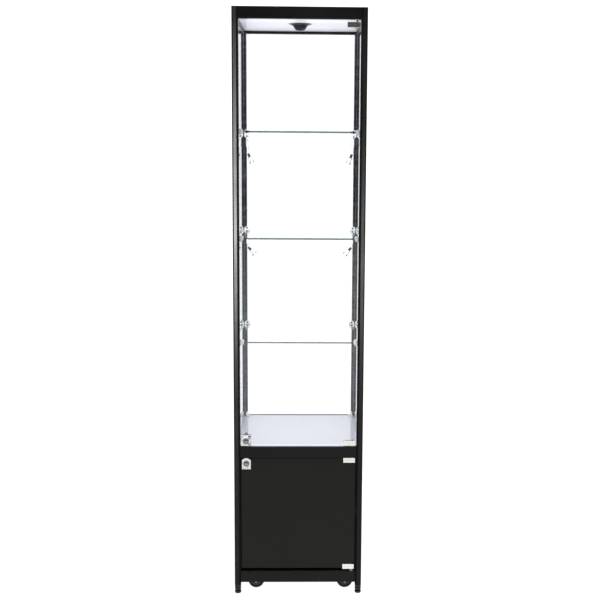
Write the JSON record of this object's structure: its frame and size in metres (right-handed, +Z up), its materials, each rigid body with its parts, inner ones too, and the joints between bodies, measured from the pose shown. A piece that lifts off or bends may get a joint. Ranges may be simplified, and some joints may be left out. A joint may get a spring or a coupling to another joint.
{
  "type": "display case",
  "caption": "Tall square glass display cabinet with a black frame, glass and cupboard doors, glass shelves, spotlights, castors and levelling feet.",
  "frame": {"origin": "centre of the case on the floor, at the underside of the levelling feet", "axes": "+Z up, +X to the right seen from the front, +Y from front to back"},
  "size_m": [0.4, 0.4, 1.805],
  "materials": {
    "black_frame": "satin black powder coat",
    "black_plastic": "moulded, fine grain",
    "white_nylon": "natural nylon",
    "white_board": "white laminate",
    "black_board": "black laminate, fine pore",
    "clear_glass": "toughened float glass, polished edges",
    "black_rubber": "extruded seal",
    "zinc_steel": "zinc plated",
    "satin_hinge": "satin nickel",
    "chrome": "polished chrome",
    "lock_steel": "turned steel",
    "black_light": "charcoal, satin",
    "light_lens": "frosted",
    "castor_tyre": "moulded rubber"
  },
  "bodies": {
    "cabinet": {"post_front_left": "black_frame", "post_front_right": "black_frame", "post_rear_left": "black_frame", "post_rear_right": "black_frame", "top_rail_front": "black_frame", "deck_rail_front": "black_frame", "base_rail_front": "black_frame", "rear_rails": "black_frame", "side_rails": "black_frame", "pivot_bushes": "white_nylon", "post_caps": "black_plastic", "foot_blocks": "black_plastic", "lid_panel": "white_board", "ceiling_panel": "white_board", "deck_panel": "white_board", "base_panel": "black_board", "side_glass_left": "clear_glass", "side_glass_right": "clear_glass", "rear_glass": "clear_glass", "cupboard_sides": "black_board", "cupboard_back": "black_board", "glazing_gaskets": "black_rubber", "cable_grommet": "black_plastic", "board_brackets": "zinc_steel", "light_ring": "black_light", "side_light_stems": "chrome", "castor_plates": "zinc_steel"},
    "glass_door": {"glass_door_pane": "clear_glass", "glass_door_hinges": "satin_hinge", "glass_door_lock": "chrome"},
    "glass_door_cam": {"glass_door_lock_barrel": "lock_steel"},
    "cupboard_door": {"cupboard_door_panel": "black_board", "cupboard_door_hinges": "satin_hinge", "cupboard_door_lock": "chrome"},
    "cupboard_door_cam": {"cupboard_door_lock_barrel": "lock_steel"},
    "light_gimbal": {"light_gimbal": "black_light"},
    "light_eyeball": {"light_eyeball": "black_light", "light_lens": "light_lens"},
    "shelf_1": {"shelf_1": "clear_glass", "shelf_clips_1": "chrome"},
    "shelf_2": {"shelf_2": "clear_glass", "shelf_clips_2": "chrome"},
    "shelf_3": {"shelf_3": "clear_glass", "shelf_clips_3": "chrome"},
    "side_light_upper_left": {"side_light_head_upper_left": "chrome"},
    "side_light_upper_right": {"side_light_head_upper_right": "chrome"},
    "side_light_lower_left": {"side_light_head_lower_left": "chrome"},
    "side_light_lower_right": {"side_light_head_lower_right": "chrome"},
    "foot_front_left": {"foot_front_left": "black_plastic"},
    "foot_front_right": {"foot_front_right": "black_plastic"},
    "foot_rear_left": {"foot_rear_left": "black_plastic"},
    "foot_rear_right": {"foot_rear_right": "black_plastic"},
    "castor_front_left": {"castor_fork_front_left": "zinc_steel"},
    "castor_wheel_front_left": {"castor_wheel_front_left": "castor_tyre"},
    "castor_front_right": {"castor_fork_front_right": "zinc_steel"},
    "castor_wheel_front_right": {"castor_wheel_front_right": "castor_tyre"},
    "castor_rear_left": {"castor_fork_rear_left": "zinc_steel"},
    "castor_wheel_rear_left": {"castor_wheel_rear_left": "castor_tyre"},
    "castor_rear_right": {"castor_fork_rear_right": "zinc_steel"},
    "castor_wheel_rear_right": {"castor_wheel_rear_right": "castor_tyre"}
  },
  "joints": [
    {"name": "glass_door_swing", "type": "hinge", "parent": "cabinet", "child": "glass_door", "pos_m": [0.168, -0.19, 1.1], "axis": [0, 0, 1], "range_deg": [0, 110]},
    {"name": "glass_door_lock_turn", "type": "hinge", "parent": "glass_door", "child": "glass_door_cam", "pos_m": [-0.1625, -0.19, 0.497], "axis": [0, -1, 0], "range_deg": [0, 90]},
    {"name": "cupboard_door_swing", "type": "hinge", "parent": "cabinet", "child": "cupboard_door", "pos_m": [0.168, -0.19, 0.26], "axis": [0, 0, 1], "range_deg": [0, 110]},
    {"name": "cupboard_door_lock_turn", "type": "hinge", "parent": "cupboard_door", "child": "cupboard_door_cam", "pos_m": [-0.1616, -0.19, 0.425], "axis": [0, -1, 0], "range_deg": [0, 90]},
    {"name": "ceiling_light_pan", "type": "hinge", "parent": "cabinet", "child": "light_gimbal", "pos_m": [0, -0.01, 1.777], "axis": [0, 0, 1], "range_deg": [-175, 175]},
    {"name": "ceiling_light_tilt", "type": "hinge", "parent": "light_gimbal", "child": "light_eyeball", "pos_m": [0, -0.01, 1.777], "axis": [1, 0, 0], "range_deg": [-25, 25]},
    {"name": "shelf_1_height", "type": "slide", "parent": "cabinet", "child": "shelf_1", "axis": [0, 0, 1], "range_m": [0, 0.25]},
    {"name": "shelf_2_height", "type": "slide", "parent": "cabinet", "child": "shelf_2", "axis": [0, 0, 1], "range_m": [0, 0.17]},
    {"name": "shelf_3_height", "type": "slide", "parent": "cabinet", "child": "shelf_3", "axis": [0, 0, 1], "range_m": [-0.25, 0.2]},
    {"name": "side_light_upper_left_tilt", "type": "hinge", "parent": "cabinet", "child": "side_light_upper_left", "pos_m": [-0.171, 0.165, 1.375], "axis": [0, -1, 0], "range_deg": [-20, 60]},
    {"name": "side_light_upper_right_tilt", "type": "hinge", "parent": "cabinet", "child": "side_light_upper_right", "pos_m": [0.171, 0.165, 1.375], "axis": [0, 1, 0], "range_deg": [-20, 60]},
    {"name": "side_light_lower_left_tilt", "type": "hinge", "parent": "cabinet", "child": "side_light_lower_left", "pos_m": [-0.171, 0.165, 1.064], "axis": [0, -1, 0], "range_deg": [-40, 40]},
    {"name": "side_light_lower_right_tilt", "type": "hinge", "parent": "cabinet", "child": "side_light_lower_right", "pos_m": [0.171, 0.165, 1.064], "axis": [0, 1, 0], "range_deg": [-40, 40]},
    {"name": "foot_front_left_height", "type": "slide", "parent": "cabinet", "child": "foot_front_left", "axis": [0, 0, -1], "range_m": [0, 0.012]},
    {"name": "foot_front_right_height", "type": "slide", "parent": "cabinet", "child": "foot_front_right", "axis": [0, 0, -1], "range_m": [0, 0.012]},
    {"name": "foot_rear_left_height", "type": "slide", "parent": "cabinet", "child": "foot_rear_left", "axis": [0, 0, -1], "range_m": [0, 0.012]},
    {"name": "foot_rear_right_height", "type": "slide", "parent": "cabinet", "child": "foot_rear_right", "axis": [0, 0, -1], "range_m": [0, 0.012]},
    {"name": "castor_front_left_swivel", "type": "hinge", "parent": "cabinet", "child": "castor_front_left", "pos_m": [-0.1415, -0.152, 0.055], "axis": [0, 0, 1], "continuous": true},
    {"name": "castor_front_left_roll", "type": "hinge", "parent": "castor_front_left", "child": "castor_wheel_front_left", "pos_m": [-0.134, -0.152, 0.026], "axis": [0, 1, 0], "continuous": true},
    {"name": "castor_front_right_swivel", "type": "hinge", "parent": "cabinet", "child": "castor_front_right", "pos_m": [0.1415, -0.152, 0.055], "axis": [0, 0, 1], "continuous": true},
    {"name": "castor_front_right_roll", "type": "hinge", "parent": "castor_front_right", "child": "castor_wheel_front_right", "pos_m": [0.149, -0.152, 0.026], "axis": [0, 1, 0], "continuous": true},
    {"name": "castor_rear_left_swivel", "type": "hinge", "parent": "cabinet", "child": "castor_rear_left", "pos_m": [-0.1415, 0.152, 0.055], "axis": [0, 0, 1], "continuous": true},
    {"name": "castor_rear_left_roll", "type": "hinge", "parent": "castor_rear_left", "child": "castor_wheel_rear_left", "pos_m": [-0.134, 0.152, 0.026], "axis": [0, 1, 0], "continuous": true},
    {"name": "castor_rear_right_swivel", "type": "hinge", "parent": "cabinet", "child": "castor_rear_right", "pos_m": [0.1415, 0.152, 0.055], "axis": [0, 0, 1], "continuous": true},
    {"name": "castor_rear_right_roll", "type": "hinge", "parent": "castor_rear_right", "child": "castor_wheel_rear_right", "pos_m": [0.149, 0.152, 0.026], "axis": [0, 1, 0], "continuous": true}
  ]
}
